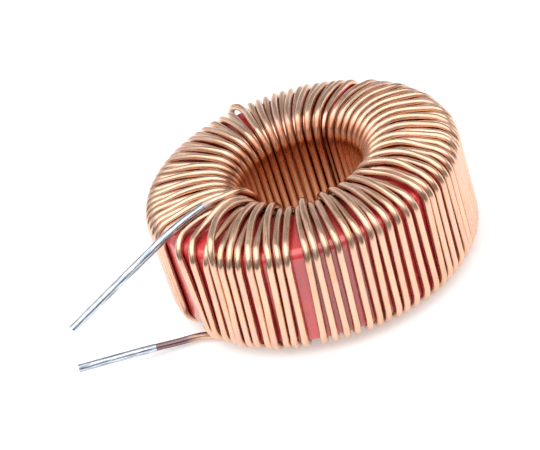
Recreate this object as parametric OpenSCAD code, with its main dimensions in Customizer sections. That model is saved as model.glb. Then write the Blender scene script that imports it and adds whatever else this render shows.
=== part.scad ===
// Toroidal inductor: one enamelled copper wire wound by hand round an epoxy-coated powder ring,
// with both ends of the wire brought out on the same side as tinned leads.
// The ring's axis is Z, Z = 0 is the lowest point of the winding, and the leads leave towards -X.
// Angles are about Z in degrees, from -Y towards +X.

/* [Coated ring] */
// Outer diameter over the coat
ring_od = 33.4; // [31:0.1:38]
// Inner diameter inside the coat
ring_id = 15.9; // [15.5:0.1:18]
// Height over the coat
ring_h = 11.5; // [8:0.1:16]
// Radius of the coat's rounded edges
edge_r = 1.0; // [0.5:0.1:1.4]
// Thickness of the epoxy coat
coat_t = 0.2; // [0.1:0.05:0.4]

/* [Wire] */
// Diameter over the enamel
wire_d = 0.7; // [0.5:0.01:0.71]
// Clearance between the wire and the coat
wire_gap = 0.03; // [0.02:0.01:0.1]
// Number of times that the wire runs down the ring's outer wall
turns = 88; // [70:1:89]
// Distance between the two layers of wire in the hole, as a share of the wire's diameter
layer_share = 0.8; // [0.78:0.01:0.9]
// Rise of a turn off the ring's flat face at mid-span
bow = 0.3; // [0.1:0.05:0.5]

/* [Lay of the turns] */
// Direction of the open sector that the leads leave by
lead_angle = -63; // [-90:1:-30]
// Width of that sector between the first and the last turn
lead_sector = 12; // [11:1:20]
// Lean of a turn as it runs down the outer wall
lean = 2; // [0:0.5:3]
// Slant of the turns near the finish lead across the end faces
fan = 3; // [0:0.5:3.5]

/* [Leads] */
// Reach of the leads beyond the turns
lead_reach = 12.9; // [8:0.1:20]
// Thickness of the solder on the tinned ends
tin_t = 0.04; // [0.02:0.01:0.08]

/* [Hidden] */

bond = 0.01;                // layer between the core and its coat, and between the wire and its solder
sides = 6;                  // sides of the wire's section
smooth = 96;                // fragments of a full circle
hole_share = 0.2;           // share of the uneven spacing that the turns keep inside the hole

// Pitch of the turns counted back from the finish lead, as shares of an even pitch
finish_pitch = [1.25, 1.5, 0.85, 0.8, 1, 0.8, 0.9, 0.9, 1.25, 0.85, 0.8, 1.9, 0.8, 0.8,
    1.05, 1.25, 0.8, 1.05, 0.8, 1.05, 0.9, 1, 0.9, 1.5, 0.8, 0.9, 1, 0.8];
// Wide gaps further round: turn counted from the start lead, and its pitch
wide_pitch = [[22, 1.6], [37, 1.5]];

// Wire centre line, measured from the ring's middle plane
seat = wire_d / 2 + wire_gap;
layer = layer_share * wire_d;
wall_r = ring_od / 2 + seat;
hole_r = ring_id / 2 - seat;
face_z = ring_h / 2 + seat;
bend = (edge_r + seat) * (1 - tan(22.5));
half_h = face_z + max(layer, layer / 2 + bow) + wire_d / 2;

// Lead routes: radius beyond the wall of turns, angle from lead_angle, height over the turns' level
top_route = [[-7.8, 1, 1.05], [-5.5, -2.2, 1.12], [-1.4, -0.6, 0.8], [1.9, -0.7, 0],
    [lead_reach, -0.6, -3.1]];
bottom_route = [[lead_reach, -9, -1.6], [5.9, -7, -0.35], [2.6, -4.6, 0.15], [-0.3, 1, 0.2]];
top_tin_from = 1;           // bend of top_route that the solder starts behind
bottom_tin_to = 1;          // bend of bottom_route that the solder starts behind
foot_a = 3;                 // angle of the start lead's foot from lead_angle, less the lean

function unit(v) = v / norm(v);
function mix(p, q, s) = p + (q - p) * s;
function at(r, a, z) = [r * sin(a), -r * cos(a), z + half_h];
function bump(x, centre, width) = exp(-pow((x - centre) / width, 2));

// Angles of the turns on the outer wall, counted on past a full circle
function wide(i) = [for (w = wide_pitch) if (w[0] == i) w[1]];
function pitch(i) = turns - 2 - i < len(finish_pitch) ? finish_pitch[turns - 2 - i]
    : len(wide(i)) > 0 ? wide(i)[0] : 1 + 0.12 * sin(i * 137.5);
function running(i, sum) = i > turns - 2 ? [sum] : concat([sum], running(i + 1, sum + pitch(i)));
run = running(0, 0);
pitch_deg = (360 - lead_sector) / run[turns - 1];
first_wall = lead_angle - lead_sector / 2;
function wall_a(i) = i < turns ? first_wall - run[i] * pitch_deg : wall_a(turns - 1) - pitch_deg;

// Angles of the passes up the hole: one before each turn and one before the top lead
function even_a(i) = first_wall + 1 - i * (360 - lead_sector + 2.5) / turns;
function hole_a(i) = mix(even_a(i), wall_a(i), hole_share)
    - fan * bump(wall_a(i) + 360, lead_angle + 33, 20);

// Alternate passes lie in the inner layer, and the last one does
function inner(i) = (turns - i) % 2 == 0 ? layer : 0;

// Each station is a point of the centre line and a vector pointing away from the ring
function station(r, a, z, out_r, out_z) = [at(r, a, z), [out_r * sin(a), -out_r * cos(a), out_z]];
function hole_end(i, s) = let (n = inner(i), k = tan(22.5))
    [station(hole_r - n, hole_a(i), s * (face_z - bend + k * n), -1, s * k),
     station(hole_r + bend - k * n, hole_a(i), s * (face_z + n), -k, s)];
function wall_end(a, s) = let (k = tan(22.5))
    [station(wall_r - bend, a, s * face_z, k, s), station(wall_r, a, s * (face_z - bend), 1, s * k)];
function span_mid(p, q, s) = [mix(p[0], q[0], 0.5) + [0, 0, s * bow], [0, 0, s]];
function face_run(p, q, s) = [p, span_mid(p, q, s), q];
function reversed(v) = [for (i = [len(v) - 1:-1:0]) v[i]];

function turn(i) = let (up = hole_end(i, 1), out = wall_end(wall_a(i), 1),
        down = wall_end(wall_a(i) - lean, -1), back = hole_end(i + 1, -1))
    concat([up[0]], face_run(up[1], out[0], 1), [out[1], down[1]], face_run(down[0], back[1], -1),
        [back[0]]);
function route(list, s) = [for (p = list)
    [at(wall_r + p[0], lead_angle + p[1], s * (face_z + p[2])), [0, 0, s]]];

lead_in = concat(route(bottom_route, -1),
    [wall_end(lead_angle + foot_a - lean, -1)[0]], reversed(hole_end(0, -1)));
lead_out = concat(hole_end(turns, 1), route(top_route, 1));
wire = concat(lead_in, [for (i = [0:turns - 1]) each turn(i)], lead_out);

// Cross-section of the wire at one station, square to the bisector of its two stretches
function ring_at(i) = let (p = wire[i][0], a = wire[max(i - 1, 0)][0],
        b = wire[min(i + 1, len(wire) - 1)][0],
        d1 = i > 0 ? unit(p - a) : unit(b - p), d2 = i < len(wire) - 1 ? unit(b - p) : d1,
        t = unit(d1 + d2), side = unit(cross(t, wire[i][1])), up = cross(side, t),
        stretch = 1 / (t * d1))
    [for (k = [0:sides - 1]) p + wire_d / 2 * (sin(k * 360 / sides) * side
        + stretch * cos(k * 360 / sides) * up)];

module winding() {
    count = len(wire);
    points = [for (i = [0:count - 1]) each ring_at(i)];
    walls = [for (i = [0:count - 2], k = [0:sides - 1]) let (p = i * sides + k,
            q = i * sides + (k + 1) % sides)
        each [[p, q + sides, q], [p, p + sides, q + sides]]];
    start = [for (k = [1:sides - 2]) [0, k, k + 1]];
    end = [for (k = [1:sides - 2]) [0, k + 1, k] + (count - 1) * sides * [1, 1, 1]];
    color("peru") polyhedron(points, concat(start, walls, end), convexity = 10);
}

module ring_section(inset) {
    r = edge_r - inset;
    x = ring_id / 2 + inset;
    w = (ring_od - ring_id) / 2 - 2 * inset;
    h = ring_h / 2 - inset;
    translate([x + r, -h]) square([w - 2 * r, 2 * h]);
    translate([x, r - h]) square([w, 2 * (h - r)]);
    for (cx = [x + r, x + w - r], cy = [r - h, h - r])
        translate([cx, cy]) circle(r, $fn = smooth);
}

module powder_core() {
    color("dimgray") translate([0, 0, half_h])
        rotate_extrude($fn = smooth) ring_section(coat_t + bond);
}

module epoxy_coat() {
    color("firebrick") translate([0, 0, half_h]) rotate_extrude($fn = smooth) difference() {
        ring_section(0);
        ring_section(coat_t);
    }
}

// A round rod from p to q
module rod(p, q, r) {
    v = q - p;
    translate(p) rotate([0, acos(v[2] / norm(v)), atan2(v[1], v[0])])
        cylinder(h = norm(v), r = r, $fn = smooth);
}

// A rod through several points, with a slightly fuller ball at each bend
module bent_rod(points, r) {
    for (i = [0:len(points) - 2]) rod(points[i], points[i + 1], r);
    for (i = [1:1:len(points) - 2]) translate(points[i]) sphere(r + bond, $fn = smooth);
}

// Solder round the end of a lead: points run from the bend that it starts behind to the cut end
module tin(points) {
    n = len(points) - 1;
    first = unit(points[1] - points[0]);
    last = unit(points[n] - points[n - 1]);
    inside = wire_d / 2 + bond;
    color("gainsboro") difference() {
        bent_rod([points[0] + first * wire_d / 2, for (i = [1:1:n - 1]) points[i],
            points[n] + last * (bond + tin_t)], inside + tin_t);
        bent_rod([for (i = [0:1:n - 1]) points[i], points[n] + last * bond], inside);
    }
}

module top_lead_tin() {
    stations = route(top_route, 1);
    tin([for (i = [top_tin_from:len(stations) - 1]) stations[i][0]]);
}

module bottom_lead_tin() {
    stations = route(bottom_route, -1);
    tin([for (i = [bottom_tin_to:-1:0]) stations[i][0]]);
}

powder_core();
epoxy_coat();
winding();
top_lead_tin();
bottom_lead_tin();
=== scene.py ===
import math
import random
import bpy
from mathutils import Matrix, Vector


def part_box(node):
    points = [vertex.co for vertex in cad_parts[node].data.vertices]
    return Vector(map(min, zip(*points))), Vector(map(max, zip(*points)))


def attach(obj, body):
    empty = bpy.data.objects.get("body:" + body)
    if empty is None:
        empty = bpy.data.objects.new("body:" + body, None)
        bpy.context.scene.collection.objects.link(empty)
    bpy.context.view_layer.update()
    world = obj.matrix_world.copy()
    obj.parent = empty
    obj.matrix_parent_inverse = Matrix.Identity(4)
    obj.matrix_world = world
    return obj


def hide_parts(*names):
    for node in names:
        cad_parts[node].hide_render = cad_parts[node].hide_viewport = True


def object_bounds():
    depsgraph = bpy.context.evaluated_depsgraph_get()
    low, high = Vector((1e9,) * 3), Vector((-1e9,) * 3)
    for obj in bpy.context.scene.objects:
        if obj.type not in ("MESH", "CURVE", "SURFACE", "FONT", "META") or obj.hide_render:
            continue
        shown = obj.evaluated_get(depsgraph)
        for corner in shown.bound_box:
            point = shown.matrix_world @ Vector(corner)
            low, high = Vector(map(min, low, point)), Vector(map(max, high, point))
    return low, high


bl_info = {
    "name": "Toroidal inductor",
    "version": (1, 0, 0),
    "blender": (4, 5, 0),
    "location": "3D View > Sidebar > Inductor",
    "description": "Winds, tins and dresses a toroidal inductor round its packed frame",
    "category": "Object",
}

import bpy
import numpy as np
from mathutils import Matrix, Vector

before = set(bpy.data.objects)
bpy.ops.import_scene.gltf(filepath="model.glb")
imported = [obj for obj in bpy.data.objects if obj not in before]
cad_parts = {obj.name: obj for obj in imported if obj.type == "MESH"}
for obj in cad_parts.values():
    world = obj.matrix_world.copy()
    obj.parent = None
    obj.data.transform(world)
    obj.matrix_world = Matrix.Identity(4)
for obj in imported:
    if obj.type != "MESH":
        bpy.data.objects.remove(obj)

MM = 0.001
CAD_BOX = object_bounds()
COAT_LOW, COAT_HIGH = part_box("epoxy_coat")

# Shapes are worked out in millimetres from the coated ring's middle plane and axis, and angles in
# degrees from -Y towards +X. The wire is drawn at its full thickness inside the solid winding's box, so
# the coat is a little smaller than the solid one. Its skin is thinner too, which leaves the core's
# faces within 0.01 mm of the solid core's.
SOLID_HOLE_R = 7.95
COAT_TRIM = 0.08
COAT_T = 0.11
CORE_GAP = 0.01
EDGE_R = 1.0
HOLE_EDGE_R = 2.0
RING_R = (COAT_HIGH.x - COAT_LOW.x) / 2 / MM - COAT_TRIM
RING_HALF_H = (COAT_HIGH.z - COAT_LOW.z) / 2 / MM - COAT_TRIM
HOLE_R = SOLID_HOLE_R + COAT_TRIM
MIDDLE_Z = (COAT_HIGH.z + COAT_LOW.z) / 2 / MM
ROOF_Z = CAD_BOX[1][2] / MM - MIDDLE_Z
GROUND_Z = CAD_BOX[0][2] / MM - MIDDLE_Z

# The turns that show most, counted back from the finish lead. Each has its angle at the top of the
# outer wall, its lean down the wall, its angle in the hole, its tier in the hole (0 lies on the coat,
# 1 on that), and its angles near the shoulder, at mid-span and near the hole.
FRONT_TURNS = [
    (-58.1, -1.6, -60, 0, (-62.8, -64.4, -63.0)),
    (-50.5, 2.4, -56, 1, (-55.3, -57.6, -57.4)),
    (-44.3, 3.9, -52.5, 0, (-45.3, -47, -48.8)),
    (-40.3, 3.4, -49, 1, (-44.5, -50.1, -54.6)),
    (-38.3, 3.4, -45.5, 0, (-39.8, -41.4, -44.6)),
    (-34.5, 3.4, -42.3, 1, (-35.7, -38.2, -41)),
    (-31, 3.6, -38, 0, (-32.5, -34.2, -36.4)),
    (-26.6, 3.4, -35, 1, (-28, -30.7, -33.3)),
    (-24.1, 3.4, -30.5, 0, (-25.2, -26.6, -28)),
    (-19.5, 3.8, -27.5, 1, (-20.9, -22.9, -24.8)),
    (-16.2, 4.1, -22, 0, (-17.3, -18.6, -20)),
    (-13.3, 3.2, -15, 1, (-13.4, -13.8, -14.2)),
    (-6.3, 3.5, -8.4, 0, (-6.7, -7.6, -8.2)),
    (-3.3, 2.5, -4.8, 1, (-3.6, -4.3, -5)),
    (0.5, 2, -0.8, 0, (0.4, 0.1, -0.5)),
    (4.6, 2.2, 4.9, 0, (4.4, 4.4, 4.6)),
    (9.1, 2.1, 8.7, 1, (9.3, 9.4, 9.6)),
    (12.6, 1.8, 13.3, 0, (12.5, 12.8, 13.3)),
    (16.5, 2.4, 16.5, 1, (17, 17.6, 17.5)),
    (19.6, 1.3, 21, 0, (19.7, 20.3, 20.5)),
    (23.6, 2, 25.2, 1, (24.1, 24.9, 25.7)),
    (27.4, 1.5, 30, 0, (28.2, 29.5, 30)),
    (31.7, 1, 33.7, 1, (31.9, 32.9, 33.9)),
    (35.7, 0.4, 37.5, 0, (36, 37.1, 37.7)),
    (41.3, 1.8, 41, 1, (41.8, 44.2, 44)),
    (44.2, 1, 46, 0, (44.8, 47.7, 50)),
    (47.7, 0.8, 49, 1, (49.1, 52.4, 52.4)),
    (52, 0.3, 54, 0, (53.6, 57.4, 58.3)),
    (55.6, -0.8, 58, 1, (57.6, 62.2, 63.4)),
    (59.7, 0, 62, 0, (61.9, 65.5, 68)),
]
STATION_R = (15, 12.6, 10.5)

# The rest of the turns, further round the ring: their number, and their angles on the wall and in the
# hole as pairs of turn and angle, with even steps between two pairs
REST_COUNT = 58
REST_WALL = [(0, 289.5), (22, 201), (23, 195), (36, 148), (37, 137.2), (57, 63.9)]
REST_HOLE = [(0, 292), (36, 151.3), (37, 141.8), (57, 66)]

# The rest swing sideways over the top, at STATION_R, and lean down the wall. Each is greatest at one
# angle and fades away from it.
REST_SWING = (2.7, 7.1, 9.7)
SWING_AT = 85
SWING_WIDTH = 45
REST_LEAN = 2
LEAN_AT = 291
LEAN_WIDTH = 90

# Unevenness of winding by hand, in degrees and for the rise in millimetres
UNEVEN_WALL = 0.35
UNEVEN_HOLE = 0.25
UNEVEN_OVER = 0.4
UNEVEN_RISE = 0.07
UNEVEN_FRONT_RISE = 0.05

# One turn stands loose off the shoulder, and runs down the wall beside its own place
LOOSE_TURN = 23
LOOSE_WALL = 198.9
LOOSE_SLACK = 0.8

# How the wire seats: its gap to the coat in the hole and near it, its gap to the face at the shoulder,
# how far it bites into the coat on the wall, its bend there, and its arch at mid-span underneath
SEAT_GAP = 0.02
SHOULDER_GAP = 0.1
WALL_BITE = 0.002
SHOULDER_BEND = 1.9
UNDER_RISE = 0.12

# A wall has one station between its middle and its bends, at this share of the way
WALL_SHARE = 0.55

# Least distance between two lines of wire, in thicknesses
WIRE_SPACE = 1.03

# The wire keeps this far from the top and the bottom of the CAD box
BOX_MARGIN = 0.02

# Leads, as stations of the centre line: radius, angle, height off the ring's middle plane. The points
# of the curve through them lie a step apart.
TOP_LEAD = [(11.4, -65.8, 7.13), (15.68, -64.1, 6.88), (18.98, -63.7, 6.13), (29.96, -63.6, 3.03)]
BOTTOM_LEAD = [(29.93, -72, -4.53), (22.98, -70, -5.78), (19.68, -67.6, -6.28), (16.78, -62, -6.33)]
LEAD_STEP = 0.45

# The start lead joins the first pass under the ring inside FOOT_R, and the finish lead leaves the last
# one where it comes out of the hole, at KNEE_R
FOOT_R = 14.5
KNEE_R = 10.3

# Angle of the start lead's foot. It is the same direction as 300, but the first pass goes from -60 to
# 292 in the hole, so it runs nearly once round the underside on its way in.
FOOT_WALL = -60

# The last pass, from the hole to the finish lead
FINISH_WALL = -64
FINISH_HOLE = -57
FINISH_TIER = 2
FINISH_OVER = (-64, -65.6, -64.6)

# Solder on the leads: the radius that it starts at, its thickness and its reach past the wire's end
TOP_SOLDER_R = 11.6
BOTTOM_SOLDER_R = 21.6
SOLDER_T = 0.045
SOLDER_END = 0.06

# Fineness of the small waves along the wire
WAVE_SCALE = 600.0

# The camera, in millimetres, and its roll in degrees
CAMERA_PLACE = (0, -170.82, 111.74)
CAMERA_AIM = (0, 0, 7.06)
CAMERA_ROLL = 17.57


def mix(a, b, share):
    """The value at a share of the way from a to b."""
    return a + (b - a) * share


def bump(x, centre, width):
    """1 at the centre, fading to 0 over about the width on both sides."""
    return math.exp(-(((x - centre) / width) ** 2))


def rising(x, start, width):
    """0 up to the start, rising evenly to 1 over the width."""
    return min(max((x - start) / width, 0), 1)


def smooth_step(p, q, slope_p, slope_q, t):
    """The point at a share t of a smooth curve from p to q, with a slope at each end."""
    left = p * ((1 + 2 * t) * (1 - t) ** 2) + slope_p * (t * (1 - t) ** 2)
    right = q * (t * t * (3 - 2 * t)) - slope_q * (t * t * (1 - t))
    return left + right


def at(r, angle, z):
    """A point in millimetres from a radius, an angle from the front and a height off the middle."""
    a = math.radians(angle)
    return Vector((r * math.sin(a), -r * math.cos(a), z))


def through(knots, x):
    """The value at x of a smooth curve through knots, which are pairs in rising order of x."""
    last = len(knots) - 1
    k = max([j for j in range(last) if knots[j][0] <= x], default=0)
    (x0, y0), (x1, y1) = knots[k], knots[k + 1]
    before = knots[max(k - 1, 0)]
    after = knots[min(k + 2, last)]
    step = x1 - x0
    slope0 = (y1 - before[1]) / (x1 - before[0]) * step
    slope1 = (after[1] - y0) / (after[0] - x0) * step
    return smooth_step(y0, y1, slope0, slope1, rising(x, x0, step))


def pressed(value, low, high):
    """The value, eased into the range from low to high."""
    ease = 0.08
    if value > high - ease:
        value = high - ease * math.exp(-(value - high + ease) / ease)
    if value < low + ease:
        value = low + ease * math.exp((value - low - ease) / ease)
    return value


def softened(values, rounds):
    """The list with each inner value drawn towards its neighbours."""
    for _ in range(rounds):
        inner = [(a + 2 * b + c) / 4 for a, b, c in zip(values, values[1:], values[2:])]
        values = [values[0], *inner, values[-1]]
    return values


# --------------------------------------------------------------------------------------- sizes


class InductorWire(bpy.types.PropertyGroup):
    diameter: bpy.props.FloatProperty(
        name="Diameter", description="Diameter of the wire over its enamel",
        default=0.8 * MM, unit="LENGTH", precision=5)
    sides: bpy.props.IntProperty(
        name="Sides", description="Sides of the wire's section", default=20, min=6)
    rise: bpy.props.FloatProperty(
        name="Rise", description="How far a turn arches off the flat face at mid-span",
        default=0.2 * MM, unit="LENGTH", precision=5)
    hop: bpy.props.FloatProperty(
        name="Hop", description="How far an upper turn stands off the lower ones at the rim",
        default=0.12 * MM, unit="LENGTH", precision=5)
    waviness: bpy.props.FloatProperty(
        name="Waviness", description="Unevenness of the wire left by winding it by hand",
        default=0.015 * MM, unit="LENGTH", precision=6)
    seed: bpy.props.IntProperty(
        name="Seed", description="Seed of the small unevenness of the turns", default=7)
    copper: bpy.props.FloatVectorProperty(
        name="Copper", description="Colour of the bare copper under the enamel",
        default=(0.86, 0.575, 0.42), size=3, subtype="COLOR")


class InductorCoat(bpy.types.PropertyGroup):
    colour: bpy.props.FloatVectorProperty(
        name="Colour", description="Colour of the epoxy coat on the ring",
        default=(0.8, 0.052, 0.052), size=3, subtype="COLOR")


class InductorStage(bpy.types.PropertyGroup):
    floor: bpy.props.FloatProperty(
        name="Floor", description="Width of the floor", default=4.0, unit="LENGTH")


# ---------------------------------------------------------------------------------- centre line


class Turn:
    """Where one turn of the wire lies, as for FRONT_TURNS, with its extra rise and its slack."""

    def __init__(self, wall, lean, hole, tier, over, rise=0.0, slack=0.0):
        self.wall = wall
        self.lean = lean
        self.hole = hole
        self.tier = tier
        self.over = over
        self.rise = rise
        self.slack = slack


def straight(wall, hole):
    """The angles over a face, at the radii of STATION_R, of a turn that runs straight."""
    far, near = RING_R, HOLE_R
    return [mix(wall, hole, (1 / r - 1 / far) / (1 / near - 1 / far)) for r in STATION_R]


def all_turns(draw):
    """The turns in winding order, from the start lead to the finish lead."""
    turns = []
    for k in range(REST_COUNT):
        wall = float(np.interp(k, *zip(*REST_WALL))) + draw.uniform(-UNEVEN_WALL, UNEVEN_WALL)
        hole = float(np.interp(k, *zip(*REST_HOLE))) + draw.uniform(-UNEVEN_HOLE, UNEVEN_HOLE)
        swung = bump(wall, SWING_AT, SWING_WIDTH)
        over = [a + swing * swung + draw.uniform(-UNEVEN_OVER, UNEVEN_OVER)
                for a, swing in zip(straight(wall, hole), REST_SWING)]
        lean = REST_LEAN * bump(wall, LEAN_AT, LEAN_WIDTH)
        turns.append(Turn(wall, lean, hole, k % 2, over, draw.uniform(-UNEVEN_RISE, UNEVEN_RISE)))
    turns[LOOSE_TURN].wall = LOOSE_WALL
    turns[LOOSE_TURN].slack = LOOSE_SLACK
    for wall, lean, hole, tier, over in reversed(FRONT_TURNS):
        rise = draw.uniform(-UNEVEN_FRONT_RISE, UNEVEN_FRONT_RISE)
        turns.append(Turn(wall, lean, hole, tier, over, rise))
    return turns


def spread_out(passes, clear):
    """Moves neighbours that lie side by side apart, until each has room for its thickness."""
    rounds = 24
    crossing = 0.3
    one_layer_r = 12.4
    pairs = [(i, i + 1) for i in range(len(passes) - 2)]
    pairs += [(i, i + 2) for i in range(len(passes) - 3)
              if passes[i].turn.tier == passes[i + 2].turn.tier != passes[i + 1].turn.tier]
    for _ in range(rounds):
        for i, j in pairs:
            near, far = passes[i], passes[j]
            alike = near.turn.tier == far.turn.tier
            for k, (r, a, z) in enumerate(near.stations):
                b = far.stations[k][1]
                gap = math.radians((a - b) % 360) * r
                need = clear if alike or r > one_layer_r else 0
                if crossing * need < gap < need:
                    turn = math.degrees((need - gap) / 2 / r)
                    near.stations[k] = (r, a + turn, z)
                    far.stations[k] = (r, b - turn, far.stations[k][2])


def section(wire_r, rise):
    """Half a turn over one face, from the middle of the hole to the middle of the wall."""
    bend_in = HOLE_EDGE_R + wire_r
    bend_out = SHOULDER_BEND
    in_r = HOLE_R - wire_r - SEAT_GAP
    out_r = RING_R + wire_r - WALL_BITE
    in_top = RING_HALF_H + wire_r + SEAT_GAP
    out_top = RING_HALF_H + wire_r + SHOULDER_GAP
    span = out_r - bend_out - in_r - bend_in
    up = math.atan((4 * rise + out_top - in_top) / span)
    down = math.atan((4 * rise - out_top + in_top) / span)
    inner = [(in_r, 0.0), (in_r, WALL_SHARE * (in_top - bend_in))]
    steps = 7
    for k in range(steps + 1):
        a = (math.pi / 2 - up) * k / steps
        inner.append((in_r + bend_in * (1 - math.cos(a)), in_top - bend_in * (1 - math.sin(a))))
    outer = [(out_r, 0.0), (out_r, WALL_SHARE * (out_top - bend_out))]
    steps = 6
    for k in range(steps + 1):
        a = (math.pi / 2 - down) * k / steps
        outer.append((out_r - bend_out * (1 - math.cos(a)), out_top - bend_out * (1 - math.sin(a))))
    (r0, z0), (r1, z1) = inner[-1], outer[-1]
    dome = []
    steps = 7
    for k in range(1, steps):
        t = k / steps
        dome.append((mix(r0, r1, t), mix(z0, z1, t) + 4 * rise * t * (1 - t)))
    return inner + dome + outer[::-1]


def half_pass(wire_r, rise, wall, lean, hole, over, side):
    """Stations of half a pass, side 1 over the top and -1 underneath: radius, angle, height."""
    line = section(wire_r, rise)
    in_r = line[0][0]
    out_r = line[-1][0]
    wall_top = line[-2][1] / WALL_SHARE
    knots = [(in_r, hole), *zip(STATION_R[::-1], over[::-1]), (out_r, wall)]
    angles = []
    for r, z in line:
        a = through(knots, r)
        if r > out_r - 0.001:
            a -= side * lean / 2 * (1 - z / wall_top)
        angles.append(a)
    angles = softened(angles, 2)
    return [(r, a, side * z) for (r, z), a in zip(line, angles)]


class Pass:
    """The wire from the middle of the wall, under the ring, up the hole and back to the wall."""

    def __init__(self, wire_r, rise, before, turn):
        foot = before.wall - before.lean
        under = straight(foot, turn.hole)
        low = half_pass(wire_r, UNDER_RISE, foot, before.lean, turn.hole, under, -1)
        high = half_pass(wire_r, rise + turn.rise, turn.wall, turn.lean, turn.hole, turn.over, 1)
        self.turn = turn
        self.stations = low[::-1] + high[1:]
        self.middle = len(low) - 1
        flat = [Vector((r, z)) for r, _, z in self.stations]
        self.normals = []
        for k in range(len(flat)):
            run = flat[min(k + 1, len(flat) - 1)] - flat[max(k - 1, 0)]
            run.normalize()
            self.normals.append(Vector((-run.y, run.x)))
        self.lift = [0.0] * len(flat)
        self.first = 0
        self.last = len(flat) - 1

    def settle(self):
        """Evens the pass out sideways and fixes its base line."""
        angles = softened([a for _, a, _ in self.stations], 2)
        self.stations = [(r, a, z) for (r, _, z), a in zip(self.stations, angles)]
        self.base = [at(*s) for s in self.stations]

    def points(self, wire_r):
        """The pass's own line, lifted off its base and pressed in where it would leave the box."""
        ground = GROUND_Z + wire_r + BOX_MARGIN
        roof = ROOF_Z - wire_r - BOX_MARGIN
        line = []
        for (r, a, z), n, lift in zip(self.stations, self.normals, self.lift):
            z = pressed(z + n.y * lift, ground, roof)
            line.append(at(r + n.x * lift, a, z))
        return line

    def loosen(self):
        """Stands a slack pass off the shoulder, where the top face meets the wall."""
        shoulder_r, spread_r = 17, 1.5
        shoulder_z, spread_z = 5.4, 2.2
        slack = self.turn.slack
        self.lift = [lift + slack * bump(r, shoulder_r, spread_r) * bump(z, shoulder_z, spread_z)
                     for lift, (r, _, z) in zip(self.lift, self.stations)]


def gap_to(point, line, low, high):
    """Distance from a point to the part of a line between two stations, and the place on it."""
    best = (math.inf, 0.0)
    for m in range(max(low, 0), min(high, len(line) - 1)):
        run = line[m + 1] - line[m]
        t = min(max((point - line[m]).dot(run) / run.length_squared, 0), 1)
        d = (point - line[m] - run * t).length
        if d < best[0]:
            best = (d, m + t)
    return best


def rim_hop(tier, r, z, hop):
    """How far a pass of an upper tier stands off at the rim of the hole, and less far underneath."""
    rim_r, rim_width = 9.2, 1.7
    rim_z = 4
    under_share = 0.35
    if not tier or abs(z) <= rim_z:
        return 0
    return (hop if z > 0 else under_share * hop) * bump(r, rim_r, rim_width)


def lay_passes(passes, wire_r, hop):
    """Lays the passes tier by tier, each as deep as the ones before it allow."""
    count = len(passes)
    clear = 2 * wire_r * WIRE_SPACE
    near_passes = 5
    near_stations = 4
    spread_out(passes, clear)
    for p in passes:
        p.settle()
    laid = []
    for i in sorted(range(count), key=lambda i: (passes[i].turn.tier, i)):
        p = passes[i]
        need = []
        for k, (r, _, z) in enumerate(p.stations):
            least = rim_hop(p.turn.tier, r, z, hop)
            for j in laid:
                if min((i - j) % count, (j - i) % count) > near_passes:
                    continue
                other = passes[j]
                low = max(k - near_stations, other.first)
                high = min(k + near_stations, other.last)
                d, m = gap_to(p.base[k], other.base, low, high)
                if d < clear:
                    least = max(least, other.lift[int(m)] + math.sqrt(clear * clear - d * d))
            need.append(least if p.first <= k <= p.last else 0)
        wide = [max(need[max(k - 2, 0):k + 3]) for k in range(len(need))]
        p.lift = softened(wide, 3)
        if p.turn.slack:
            p.loosen()
        laid.append(i)


def lead_curve(points):
    """Points at even steps on a smooth curve through a lead's stations."""
    line = []
    for k in range(len(points) - 1):
        before = points[max(k - 1, 0)]
        p = points[k]
        q = points[k + 1]
        after = points[min(k + 2, len(points) - 1)]
        reach = (q - p).length
        slope_p = (q - before).normalized() * reach
        slope_q = (after - p).normalized() * reach
        count = max(2, round(reach / LEAD_STEP))
        line += [smooth_step(p, q, slope_p, slope_q, n / count) for n in range(count)]
    line.append(points[-1])
    return line


def outward(point):
    """The direction straight off the coated ring at a point in millimetres, fading out on the leads."""
    leads_r = 17.4
    r = math.hypot(point.x, point.y)
    middle = (RING_R + HOLE_R) / 2
    edge_r = HOLE_EDGE_R if r < middle else EDGE_R
    half_w = (RING_R - HOLE_R) / 2 - edge_r
    half_h = RING_HALF_H - edge_r
    off_r = r - middle - min(max(r - middle, -half_w), half_w)
    off_z = point.z - min(max(point.z, -half_h), half_h)
    share = (1 - rising(r, leads_r, 1)) / math.hypot(off_r, off_z)
    return Vector((point.x / r * off_r, point.y / r * off_r, off_z)) * share


def wound_passes(props):
    """All the passes of the wire, laid on the ring and on each other."""
    draw = random.Random(props.seed)
    wire_r = props.diameter / 2 / MM
    rise = props.rise / MM
    turns = all_turns(draw)
    finish = Turn(FINISH_WALL, 0, FINISH_HOLE, FINISH_TIER, FINISH_OVER)
    passes = []
    before = Turn(FOOT_WALL, 0, turns[0].hole, 0, (0, 0, 0))
    for turn in turns + [finish]:
        passes.append(Pass(wire_r, rise, before, turn))
        before = turn
    middle = passes[0].middle
    foot = min(k for k in range(middle) if passes[0].stations[k][0] < FOOT_R)
    knee = max(k for k in range(middle, 2 * middle) if passes[-1].stations[k][0] < KNEE_R)
    passes[0].first = foot
    passes[-1].last = knee
    lay_passes(passes, wire_r, props.hop / MM)
    return passes


def wire_line(props):
    """The bottom lead, the coil and the top lead, each a list of points in millimetres."""
    passes = wound_passes(props)
    foot = passes[0].first
    knee = passes[-1].last
    lines = [p.points(props.diameter / 2 / MM) for p in passes]
    bottom = lead_curve([at(*s) for s in BOTTOM_LEAD] + [lines[0][foot]])
    coil = lines[0][foot + 1:]
    for points in lines[1:-1]:
        coil += points[1:]
    coil += lines[-1][1:knee]
    top = lead_curve([lines[-1][knee]] + [at(*s) for s in TOP_LEAD])
    return bottom, coil, top


# ------------------------------------------------------------------------------- geometry nodes


def fill(node, **inputs):
    """Fills a node's named inputs, each with a value or from another node's output."""
    for key, value in inputs.items():
        feed(node.inputs[key.replace("_", " ")], value)


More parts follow.
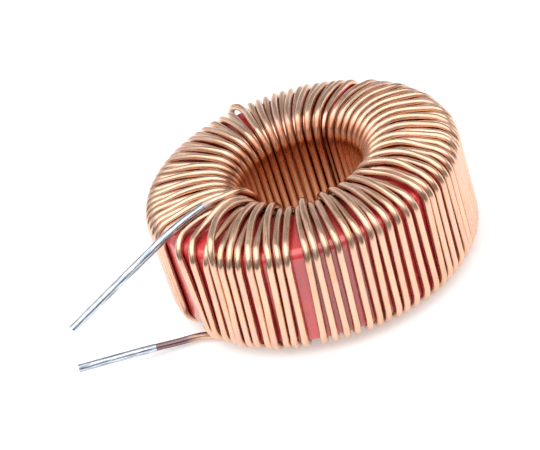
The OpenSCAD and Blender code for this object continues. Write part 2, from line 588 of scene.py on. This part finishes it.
def feed(socket, value):
    """Links an input to another node's output, or gives it a value."""
    if isinstance(value, bpy.types.NodeSocket):
        socket.id_data.links.new(value, socket)
    else:
        socket.default_value = value


def add_node(tree, kind, settings=None, **inputs):
    """A node with its settings and its named inputs."""
    node = tree.nodes.new(kind)
    for key, value in (settings or {}).items():
        setattr(node, key, value)
    fill(node, **inputs)
    return node


def vector_math(tree, operation, *values):
    """A node that works on vectors, each from an output or a value."""
    node = add_node(tree, "ShaderNodeVectorMath", {"operation": operation})
    for socket, value in zip(node.inputs, values):
        feed(socket, value)
    return node


def new_tree(name, sockets):
    """A geometry node tree with named inputs, its input node and its output node."""
    tree = bpy.data.node_groups.new(name, "GeometryNodeTree")
    tree.interface.new_socket("Geometry", in_out="INPUT", socket_type="NodeSocketGeometry")
    for label, kind in sockets:
        tree.interface.new_socket(label, in_out="INPUT", socket_type=kind)
    tree.interface.new_socket("Geometry", in_out="OUTPUT", socket_type="NodeSocketGeometry")
    return tree, tree.nodes.new("NodeGroupInput"), tree.nodes.new("NodeGroupOutput")


def sweep_tree():
    """Sweeps a round section along a line of points, with a little seeded unevenness."""
    tree, entry, out = new_tree("Swept wire", [
        ("Radius", "NodeSocketFloat"),
        ("Sides", "NodeSocketInt"),
        ("Waviness", "NodeSocketFloat"),
        ("Wave Scale", "NodeSocketFloat"),
        ("Seed", "NodeSocketInt"),
        ("Material", "NodeSocketMaterial"),
    ])
    given = entry.outputs
    vectors = {"data_type": "FLOAT_VECTOR"}

    curve = add_node(tree, "GeometryNodeMeshToCurve", Mesh=given["Geometry"])
    waves = add_node(tree, "ShaderNodeTexNoise", {"noise_dimensions": "4D"}, Detail=1.0,
                     Scale=given["Wave Scale"], W=given["Seed"])
    centred = vector_math(tree, "SUBTRACT", waves.outputs["Color"], (0.5, 0.5, 0.5))
    shift = add_node(tree, "ShaderNodeVectorMath", {"operation": "SCALE"},
                     Vector=centred.outputs[0], Scale=given["Waviness"])
    wavy = add_node(tree, "GeometryNodeSetPosition", Geometry=curve.outputs["Curve"],
                    Offset=shift.outputs[0])
    swell = add_node(tree, "GeometryNodeInputNamedAttribute", Name="swell")
    thick = add_node(tree, "GeometryNodeSetCurveRadius", Curve=wavy.outputs["Geometry"],
                     Radius=swell.outputs["Attribute"])
    length = add_node(tree, "GeometryNodeSplineParameter")
    along = add_node(tree, "GeometryNodeStoreNamedAttribute", Name="along",
                     Geometry=thick.outputs["Curve"], Value=length.outputs["Length"])

    circle = add_node(tree, "GeometryNodeCurvePrimitiveCircle", Resolution=given["Sides"],
                      Radius=given["Radius"])
    spot = add_node(tree, "GeometryNodeInputPosition")
    unit = vector_math(tree, "NORMALIZE", spot.outputs[0])
    around = add_node(tree, "GeometryNodeStoreNamedAttribute", vectors, Name="around",
                      Geometry=circle.outputs["Curve"], Value=unit.outputs[0])
    tube = add_node(tree, "GeometryNodeCurveToMesh", Curve=along.outputs["Geometry"],
                    Profile_Curve=around.outputs["Geometry"], Fill_Caps=True)

    # How far the surface faces off the ring, the mask of the wire's painted shade between the turns
    facing = add_node(tree, "GeometryNodeInputNormal")
    away = add_node(tree, "GeometryNodeInputNamedAttribute", vectors, Name="away")
    lean = vector_math(tree, "DOT_PRODUCT", facing.outputs["Normal"], away.outputs["Attribute"])
    exposed = add_node(tree, "GeometryNodeStoreNamedAttribute", Name="exposed",
                       Geometry=tube.outputs["Mesh"], Value=lean.outputs["Value"])
    smooth = add_node(tree, "GeometryNodeSetShadeSmooth", Geometry=exposed.outputs["Geometry"])
    real = add_node(tree, "GeometryNodeRealizeInstances", Geometry=smooth.outputs["Geometry"])
    paint = add_node(tree, "GeometryNodeSetMaterial", Geometry=real.outputs["Geometry"],
                     Material=given["Material"])
    feed(out.inputs["Geometry"], paint.outputs["Geometry"])
    return tree


def point_line(name, line, marks):
    """A mesh of points joined in a row, in metres in the part's frame, with their attributes."""
    mesh = bpy.data.meshes.new(name)
    lifted = [(p + Vector((0, 0, MIDDLE_Z))) * MM for p in line]
    mesh.from_pydata(lifted, [(k, k + 1) for k in range(len(line) - 1)], [])
    away = [part for p in line for part in outward(p)]
    mesh.attributes.new("away", "FLOAT_VECTOR", "POINT").data.foreach_set("vector", away)
    for label, values in marks.items():
        mesh.attributes.new(label, "FLOAT", "POINT").data.foreach_set("value", values)
    return mesh


def grow(name, mesh, tree, values):
    """A plain mesh object made by running a node tree on a mesh."""
    source = bpy.data.objects.new(name + "_line", mesh)
    bpy.context.scene.collection.objects.link(source)
    nodes = source.modifiers.new("Nodes", "NODES")
    nodes.node_group = tree
    for item in tree.interface.items_tree:
        if item.in_out == "INPUT" and item.name in values:
            nodes[item.identifier] = values[item.name]
    graph = bpy.context.evaluated_depsgraph_get()
    shape = bpy.data.meshes.new_from_object(
        source.evaluated_get(graph), preserve_all_data_layers=True, depsgraph=graph)
    source.modifiers.remove(nodes)
    bpy.data.objects.remove(source)
    shape.name = name
    piece = bpy.data.objects.new(name, shape)
    bpy.context.scene.collection.objects.link(piece)
    return piece


def lay_out(piece, sides, rows):
    """A UV map that lays a swept surface out in even rows, one above another."""
    margin = 0.06
    mesh = piece.data
    rings = len(mesh.vertices) // sides
    corners = np.empty(len(mesh.loops), int)
    mesh.loops.foreach_get("vertex_index", corners)
    start = np.empty(len(mesh.polygons), int)
    count = np.empty(len(mesh.polygons), int)
    mesh.polygons.foreach_get("loop_start", start)
    mesh.polygons.foreach_get("loop_total", count)
    face = np.repeat(np.arange(len(start)), count)
    ring, side = corners // sides, corners % sides
    low = np.minimum.reduceat(ring, start)[face]
    wraps = (np.maximum.reduceat(side, start) - np.minimum.reduceat(side, start) > 1)[face]
    side = np.where(wraps & (side == 0), sides, side)
    length = math.ceil(rings / rows)
    row = low // length
    u = (ring - row * length) / length
    v = (row + mix(margin, 1 - margin, side / sides)) / rows
    layer = mesh.uv_layers.new(name="OFBake")
    layer.data.foreach_set("uv", np.stack([u, v], 1).ravel().astype(np.float32))


def seat(piece, node):
    """Gives a finished piece its body and hides the CAD node that it stands for."""
    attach(piece, "root")
    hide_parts(node)


# ------------------------------------------------------------------------------------ materials


def new_material(name):
    """A material with its node tree and its shader node."""
    material = bpy.data.materials.new(name)
    material.use_nodes = True
    tree = material.node_tree
    return material, tree, tree.nodes["Principled BSDF"]


def read(tree, label, output):
    """The values of a mesh attribute."""
    return add_node(tree, "ShaderNodeAttribute", {"attribute_name": label}).outputs[output]


def do_math(tree, operation, a, b):
    """The result of an operation on two values, each an output or a number."""
    node = add_node(tree, "ShaderNodeMath", {"operation": operation})
    feed(node.inputs[0], a)
    feed(node.inputs[1], b)
    return node.outputs[0]


def spread(tree, value, low, high, to_low, to_high):
    """The value eased from the range low to high into the range to_low to to_high."""
    node = add_node(tree, "ShaderNodeMapRange", {"interpolation_type": "SMOOTHSTEP"}, Value=value,
                    From_Min=low, From_Max=high, To_Min=to_low, To_Max=to_high)
    return node.outputs["Result"]


def blend_colour(tree, share, a, b):
    """Two colours mixed by a share, each an output or red, green and blue."""
    node = add_node(tree, "ShaderNodeMix", {"data_type": "RGBA"})
    feed(node.inputs[0], share)
    for socket, value in ((node.inputs[6], a), (node.inputs[7], b)):
        feed(socket, (*value, 1) if isinstance(value, tuple) else value)
    return node.outputs[2]


def shade(colour, shares):
    """A colour with its red, green and blue each brought to a share."""
    return tuple(part * share for part, share in zip(colour, shares))


def noise(tree, vector, scale, detail, distortion=0.0):
    """Noise between 0 and 1 at a vector."""
    node = add_node(tree, "ShaderNodeTexNoise", Vector=vector, Scale=scale, Detail=detail,
                    Distortion=distortion)
    return node.outputs["Fac"]


def along_wire(tree, stretch, girth):
    """A vector on which a pattern runs lengthwise: round the wire by girth, along it by stretch."""
    around = add_node(tree, "ShaderNodeSeparateXYZ", Vector=read(tree, "around", "Vector"))
    joined = add_node(tree, "ShaderNodeCombineXYZ",
                      X=do_math(tree, "MULTIPLY", around.outputs["X"], girth),
                      Y=do_math(tree, "MULTIPLY", around.outputs["Y"], girth),
                      Z=do_math(tree, "MULTIPLY", read(tree, "along", "Fac"), stretch))
    return joined.outputs["Vector"]


def object_spot(tree):
    """The place on the object, in metres."""
    return tree.nodes.new("ShaderNodeTexCoord").outputs["Object"]


def from_axis(tree, near, far):
    """0 closer to the ring's axis than near, rising to 1 at far, both in millimetres."""
    flat = vector_math(tree, "MULTIPLY", object_spot(tree), (1 / MM, 1 / MM, 0))
    length = vector_math(tree, "LENGTH", flat.outputs[0])
    return spread(tree, length.outputs["Value"], near, far, 0, 1)


def openness(tree, reach, low, high):
    """1 where a surface lies open, falling to 0 in crevices narrower than a reach in millimetres."""
    node = add_node(tree, "ShaderNodeAmbientOcclusion", {"samples": 8}, Distance=reach * MM)
    return spread(tree, node.outputs["AO"], low, high, 0, 1)


def roughen(tree, shader, height, depth, strength):
    """A bump of a depth in millimetres on the shader's surface."""
    node = add_node(tree, "ShaderNodeBump", Height=height, Strength=strength, Distance=depth * MM)
    fill(shader, Normal=node.outputs["Normal"])


def wire_material(props):
    """Copper under clear enamel: draw marks, duller patches, painted shade between the turns and in the
    hole, and a painted orange reflection in the hole.
    """
    inmost_painted_shade = (0.3, 0.085, 0.04)
    groove_painted_shade = (0.2, 0.06, 0.025)
    scorched_grey = (0.62, 0.6, 0.57)
    stained_black = (0.15, 0.085, 0.125)
    material, tree, shader = new_material("enamelled_copper")
    copper = tuple(props.copper)
    brown = shade(copper, (0.78, 0.71, 0.65))
    pink = shade(copper, (0.98, 0.94, 1.08))
    # A deeper orange copper, for the painted reflection in the hole
    deep = shade(copper, (0.98, 0.73, 0.56))

    draw_marks = noise(tree, along_wire(tree, 260, 1.6), 2.2, 3)
    patches = noise(tree, object_spot(tree), 420, 3, 0.6)
    lengths = noise(tree, along_wire(tree, 60, 0), 1, 1)
    burnt = read(tree, "burnt", "Fac")
    tone = do_math(tree, "ADD", do_math(tree, "MULTIPLY", draw_marks, 0.5),
                   do_math(tree, "MULTIPLY", lengths, 0.5))
    colour = blend_colour(tree, spread(tree, tone, 0.36, 0.6, 0, 1), brown, copper)
    colour = blend_colour(tree, spread(tree, patches, 0.4, 0.65, 0, 0.7), colour, pink)
    # Painted reflection: in the hole, near the axis, the copper turns a deeper orange, as of copper
    # mirrored in copper.
    colour = blend_colour(tree, from_axis(tree, 7.5, 8.5), deep, colour)
    # Painted shade: the lower tier of wire in the hole, recessed behind the upper one, darkens to
    # brown.
    inmost = do_math(tree, "MULTIPLY", read(tree, "inmost", "Fac"), 0.7)
    colour = blend_colour(tree, inmost, colour, inmost_painted_shade)
    # Painted shade: the wire darkens to brown where its surface faces into the ring, deep between the
    # turns.
    groove = spread(tree, read(tree, "exposed", "Fac"), -0.6, 0.1, 1, 0)
    colour = blend_colour(tree, groove, colour, groove_painted_shade)
    colour = blend_colour(tree, burnt, colour, scorched_grey)
    colour = blend_colour(tree, read(tree, "stained", "Fac"), colour, stained_black)

    rough = do_math(tree, "ADD", spread(tree, draw_marks, 0.3, 0.7, 0.16, 0.34),
                    spread(tree, patches, 0.45, 0.75, 0, 0.14))
    rough = do_math(tree, "ADD", rough, do_math(tree, "MULTIPLY", burnt, 0.4))
    roughen(tree, shader, draw_marks, 0.012, 0.5)
    fill(shader, Base_Color=colour, Roughness=rough, Metallic=spread(tree, burnt, 0, 1, 1, 0.35),
         Coat_Weight=0.8, Coat_Roughness=0.1, Coat_IOR=1.55, Coat_Tint=(1, 0.95, 0.88, 1))
    return material


def solder_material():
    """Bright solder wiped along the wire: long ripples, duller seams and a few grey spots."""
    seam_grey = (0.3, 0.34, 0.42)
    bright = (0.66, 0.72, 0.8)
    spot_grey = (0.2, 0.21, 0.24)
    material, tree, shader = new_material("solder")
    wiped = noise(tree, along_wire(tree, 330, 1.3), 1.7, 3)
    spots = noise(tree, object_spot(tree), 1500, 2)
    colour = blend_colour(tree, spread(tree, wiped, 0.35, 0.62, 0, 1), seam_grey, bright)
    colour = blend_colour(tree, spread(tree, spots, 0.58, 0.75, 0, 0.6), colour, spot_grey)
    roughen(tree, shader, wiped, 0.06, 0.6)
    fill(shader, Base_Color=colour, Metallic=1, Roughness=spread(tree, wiped, 0.3, 0.7, 0.32, 0.16))
    return material


def coat_material(props):
    """Glossy red epoxy with a faint orange peel, slightly uneven colour and painted shade in the
    crevices.
    """
    crevice_painted_shade = (0.25, 0.02, 0.012)
    material, tree, shader = new_material("red_epoxy")
    spot = object_spot(tree)
    peel = noise(tree, spot, 1100, 2)
    cloudy = noise(tree, spot, 260, 3)
    red = tuple(props.colour)
    deep = shade(red, (0.8, 0.6, 0.75))
    colour = blend_colour(tree, spread(tree, cloudy, 0.35, 0.65, 0, 1), deep, red)
    # Painted shade: the red darkens in crevices between the turns.
    colour = blend_colour(tree, openness(tree, 0.45, 0.05, 0.48), crevice_painted_shade, colour)
    roughen(tree, shader, peel, 0.02, 0.35)
    fill(shader, Base_Color=colour, Roughness=spread(tree, cloudy, 0.3, 0.7, 0.2, 0.32), IOR=1.6,
         Coat_Weight=0.8, Coat_IOR=1.7, Coat_Roughness=0.1)
    return material


def core_material():
    """Dark pressed iron powder: fine grains with a few bright ones."""
    dark_grain = (0.05, 0.05, 0.055)
    pale_grain = (0.1, 0.1, 0.105)
    bright_grain = (0.3, 0.3, 0.31)
    material, tree, shader = new_material("pressed_powder")
    spot = object_spot(tree)
    grains = add_node(tree, "ShaderNodeTexVoronoi", Vector=spot, Scale=6000.0).outputs["Distance"]
    cloudy = noise(tree, spot, 700, 4)
    colour = blend_colour(tree, spread(tree, cloudy, 0.3, 0.7, 0, 1), dark_grain, pale_grain)
    colour = blend_colour(tree, spread(tree, grains, 0, 0.12, 1, 0), colour, bright_grain)
    roughen(tree, shader, grains, 0.02, 0.5)
    fill(shader, Base_Color=colour, Roughness=spread(tree, cloudy, 0.3, 0.7, 0.5, 0.75))
    return material


def softbox(name, place, size, turn, glow):
    """A rectangular area lamp whose face shines as brightly as glow, where 1 is white."""
    data = bpy.data.lights.new(name, "AREA")
    data.shape = "RECTANGLE"
    data.size, data.size_y = size
    data.energy = math.pi * data.size * data.size_y * glow
    lamp = bpy.data.objects.new(name, data)
    lamp.location = place
    lamp.rotation_euler = [math.radians(a) for a in turn]
    bpy.context.scene.collection.objects.link(lamp)


def dark_card():
    """A low curved grey card in front of the object, which only the gloss of the wire sees."""
    radius, height = 0.075, 0.035
    from_angle, to_angle = -100, 75
    steps = 32
    verts = []
    faces = []
    for k in range(steps + 1):
        a = math.radians(mix(from_angle, to_angle, k / steps))
        verts.append((radius * math.sin(a), -radius * math.cos(a), 0))
        verts.append((radius * math.sin(a), -radius * math.cos(a), height))
        if k:
            faces.append((2 * k - 2, 2 * k, 2 * k + 1, 2 * k - 1))
    mesh = bpy.data.meshes.new("dark_card")
    mesh.from_pydata(verts, [], faces)
    material, _, shader = new_material("card")
    fill(shader, Base_Color=(0, 0, 0, 1), Specular_IOR_Level=0, Emission_Color=(1, 1, 1, 1),
         Emission_Strength=0.27)
    mesh.materials.append(material)
    card = bpy.data.objects.new("dark_card", mesh)
    card.visible_camera = False
    card.visible_diffuse = False
    card.visible_shadow = False
    return card


def ramp(tree, height, stops):
    """Greys at angles above the horizon, where height is the sine of the angle."""
    node = add_node(tree, "ShaderNodeValToRGB", Fac=height)
    line = node.color_ramp.elements
    while len(line) < len(stops):
        line.new(1)
    for item, (angle, value) in zip(line, stops):
        item.position = math.sin(math.radians(angle))
        item.color = (value, value, value, 1)
    return node.outputs["Color"]


def studio_world():
    """A studio, white low down behind, pale on the left and darker in front. The camera sees white."""
    world = bpy.data.worlds.new("studio")
    world.use_nodes = True
    tree = world.node_tree
    spot = tree.nodes.new("ShaderNodeTexCoord").outputs["Generated"]
    place = add_node(tree, "ShaderNodeSeparateXYZ", Vector=spot).outputs
    back = ramp(tree, place["Z"], [(0, 1), (8, 0.85), (20, 0.42), (45, 0.34), (90, 0.6)])
    front = ramp(tree, place["Z"], [(0, 0.27), (6, 0.27), (20, 0.3), (45, 0.7), (90, 0.7)])
    walls = blend_colour(tree, spread(tree, place["Y"], -0.5, 0.3, 0, 1), front, back)
    left = spread(tree, place["X"], -0.55, -0.2, 0.85, 0)
    walls = blend_colour(tree, left, walls, (0.85, 0.85, 0.85))
    seen = tree.nodes.new("ShaderNodeLightPath").outputs["Is Camera Ray"]
    fill(tree.nodes["Background"], Color=blend_colour(tree, seen, walls, (1, 1, 1)))
    return world


def floor_material():
    """Pale matt paper that glows a little where the camera or a gloss sees it, less under the ring as a
    painted shade of the ring.
    """
    material, tree, shader = new_material("studio_floor")
    path = tree.nodes.new("ShaderNodeLightPath").outputs
    seen = do_math(tree, "MAXIMUM", path["Is Camera Ray"], path["Is Glossy Ray"])
    seen = do_math(tree, "MAXIMUM", seen, path["Is Transmission Ray"])
    # Painted shade: the glow is lower under the ring.
    glow = do_math(tree, "ADD", do_math(tree, "MULTIPLY", from_axis(tree, 8, 16), 0.17), 0.19)
    fill(shader, Base_Color=(0.85, 0.85, 0.85, 1), Roughness=1, Specular_IOR_Level=0,
         Emission_Color=(1, 1, 1, 1), Emission_Strength=do_math(tree, "MULTIPLY", seen, glow))
    return material


# --------------------------------------------------------------------------------------- lathe


def ring_outline(inset, steps):
    """The rounded outline of the coated ring, drawn in by inset, as radius and height."""
    outline = []
    for start in (-90, 0, 90, 180):
        edge_r = EDGE_R if start < 90 else HOLE_EDGE_R
        r = RING_R - edge_r if start < 90 else HOLE_R + edge_r
        z = RING_HALF_H - edge_r if start in (0, 90) else edge_r - RING_HALF_H
        for k in range(steps + 1):
            a = math.radians(start + 90 * k / steps)
            outline.append((r + (edge_r - inset) * math.cos(a), z + (edge_r - inset) * math.sin(a)))
    return outline


def lathe(name, outlines, around):
    """A closed mesh turned from closed outlines about the ring's axis, in metres."""
    verts = []
    faces = []
    for outline in outlines:
        base = len(verts)
        count = len(outline)
        for n in range(around):
            for r, z in outline:
                verts.append((at(r, 360 * n / around, z + MIDDLE_Z)) * MM)
        for n in range(around):
            a = base + n * count
            b = base + (n + 1) % around * count
            for k in range(count):
                m = (k + 1) % count
                faces.append((a + k, b + k, b + m, a + m))
    mesh = bpy.data.meshes.new(name)
    mesh.from_pydata(verts, [], faces)
    mesh.shade_smooth()
    piece = bpy.data.objects.new(name, mesh)
    bpy.context.scene.collection.objects.link(piece)
    return piece


# ------------------------------------------------------------------------------------ operators


def wire_marks(line, tail):
    """What the wire's surface shows at each point, where the top lead starts at the point tail."""
    most = 0.9
    scorch_r, scorch_width = TOP_SOLDER_R - 0.15, 0.55
    stain_r, stain_width = 17, 1.6
    # Radii where the painted shade of the hole's lower tier rises and fades
    from_r, from_width = 7.15, 0.3
    to_r, to_width = 7.9, 0.7
    burnt = []
    stained = []
    inmost = []
    for k, p in enumerate(line):
        r = math.hypot(p.x, p.y)
        burnt.append(most * bump(r, scorch_r, scorch_width) if k > tail else 0)
        stained.append(most * rising(r, stain_r, stain_width) if k < tail else 0)
        inmost.append(rising(r, from_r, from_width) * (1 - rising(r, to_r, to_width)))
    return {"swell": [1.0] * len(line), "burnt": burnt, "stained": stained, "inmost": inmost}


class INDUCTOR_OT_wire(bpy.types.Operator):
    """Winds the whole wire, from one lead to the other"""

    bl_idname = "inductor.wire"
    bl_label = "Wind the wire"

    def execute(self, context):
        props = context.scene.inductor_wire
        bottom, coil, top = wire_line(props)
        line = bottom + coil + top
        mesh = point_line("winding_wire", line, wire_marks(line, len(bottom) + len(coil)))
        piece = grow("winding_wire", mesh, sweep_tree(), {
            "Radius": props.diameter / 2,
            "Sides": props.sides,
            "Waviness": props.waviness,
            "Wave Scale": WAVE_SCALE,
            "Seed": props.seed,
            "Material": wire_material(props),
        })
        lay_out(piece, props.sides, 40)
        seat(piece, "winding")
        return {"FINISHED"}


class INDUCTOR_OT_coat(bpy.types.Operator):
    """Turns the ring's epoxy coat with its rounded edges"""

    bl_idname = "inductor.coat"
    bl_label = "Coat the ring"

    def execute(self, context):
        piece = lathe("ring_coat", (ring_outline(0, 9), ring_outline(COAT_T, 4)[::-1]), 256)
        piece.data.materials.append(coat_material(context.scene.inductor_coat))
        seat(piece, "epoxy_coat")
        return {"FINISHED"}


class INDUCTOR_OT_core(bpy.types.Operator):
    """Turns the pressed powder core that fills the coat"""

    bl_idname = "inductor.core"
    bl_label = "Press the core"

    def execute(self, context):
        piece = lathe("ring_core", (ring_outline(COAT_T + CORE_GAP, 6),), 128)
        piece.data.materials.append(core_material())
        seat(piece, "powder_core")
        return {"FINISHED"}


class INDUCTOR_OT_solder(bpy.types.Operator):
    """Tins the ends of both leads"""

    bl_idname = "inductor.solder"
    bl_label = "Tin the leads"

    def execute(self, context):
        props = context.scene.inductor_wire
        bottom, _, top = wire_line(props)
        tree = sweep_tree()
        material = solder_material()
        for name, node, line, start in (
                ("top_solder", "top_lead_tin", top, TOP_SOLDER_R),
                ("bottom_solder", "bottom_lead_tin", bottom[::-1], BOTTOM_SOLDER_R)):
            line = [p for p in line if math.hypot(p.x, p.y) > start]
            line.append(line[-1] + (line[-1] - line[-2]).normalized() * SOLDER_END)
            draw = random.Random(props.seed)
            swell = [1 + draw.uniform(-0.02, 0.03) for _ in line]
            # The solder thins out at both ends
            swell[:2] = (0.86, 0.96)
            swell[-1] = 0.8
            mesh = point_line(name, line, {"swell": swell})
            piece = grow(name, mesh, tree, {
                "Radius": props.diameter / 2 + SOLDER_T * MM,
                "Sides": props.sides,
                "Waviness": 0.0,
                "Wave Scale": WAVE_SCALE,
                "Seed": props.seed,
                "Material": material,
            })
            lay_out(piece, props.sides, 4)
            seat(piece, node)
        return {"FINISHED"}


class INDUCTOR_OT_stage(bpy.types.Operator):
    """Sets up the floor, the lamps and the camera"""

    bl_idname = "inductor.stage"
    bl_label = "Set the stage"

    def execute(self, context):
        scene = context.scene
        scene.view_settings.view_transform = "Standard"
        half = scene.inductor_stage.floor / 2
        mesh = bpy.data.meshes.new("floor")
        mesh.from_pydata([(-half, -half, 0), (half, -half, 0), (half, half, 0), (-half, half, 0)],
                         [], [(0, 1, 2, 3)])
        floor = bpy.data.objects.new("floor", mesh)
        floor.data.materials.append(floor_material())
        scene.collection.objects.link(floor)

        scene.world = studio_world()
        softbox("overhead_softbox", (-0.03, -0.14, 0.42), (0.9, 0.59), (0, 0, -16), 1.45)
        softbox("side_softbox", (0.5, 0, 0.15), (0.2, 0.5), (0, 80, 0), 0.8)
        card = dark_card()
        scene.collection.objects.link(card)

        data = bpy.data.cameras.new("camera")
        data.sensor_width = 36
        data.lens = 123.4
        data.shift_x = -0.078
        data.shift_y = -0.0312
        data.clip_start = 0.001
        camera = bpy.data.objects.new("camera", data)
        scene.collection.objects.link(camera)
        where = Vector(CAMERA_PLACE) * MM
        back = (where - Vector(CAMERA_AIM) * MM).normalized()
        right = Vector((1, 0, 0))
        roll = math.radians(CAMERA_ROLL)
        across = right * math.cos(roll) - back.cross(right) * math.sin(roll)
        turned = Matrix((across, back.cross(across), back)).transposed()
        camera.matrix_world = Matrix.Translation(where) @ turned.to_4x4()
        scene.camera = camera
        return {"FINISHED"}


class INDUCTOR_PT_panel(bpy.types.Panel):
    """The steps that make the inductor"""

    bl_idname = "INDUCTOR_PT_panel"
    bl_label = "Toroidal inductor"
    bl_space_type = "VIEW_3D"
    bl_region_type = "UI"
    bl_category = "Inductor"

    def draw(self, context):
        for step in STEPS:
            self.layout.operator(step.bl_idname)


STEPS = (INDUCTOR_OT_stage, INDUCTOR_OT_core, INDUCTOR_OT_coat, INDUCTOR_OT_wire, INDUCTOR_OT_solder)
PROPERTIES = {"inductor_wire": InductorWire, "inductor_coat": InductorCoat,
              "inductor_stage": InductorStage}
CLASSES = (*PROPERTIES.values(), *STEPS, INDUCTOR_PT_panel)


def register():
    for item in CLASSES:
        bpy.utils.register_class(item)
    for name, group in PROPERTIES.items():
        setattr(bpy.types.Scene, name, bpy.props.PointerProperty(type=group))


def unregister():
    for name in PROPERTIES:
        delattr(bpy.types.Scene, name)
    for item in reversed(CLASSES):
        bpy.utils.unregister_class(item)


def main():
    register()
    for step in STEPS:
        area, name = step.bl_idname.split(".")
        getattr(getattr(bpy.ops, area), name)()


if __name__ == "__main__":
    main()
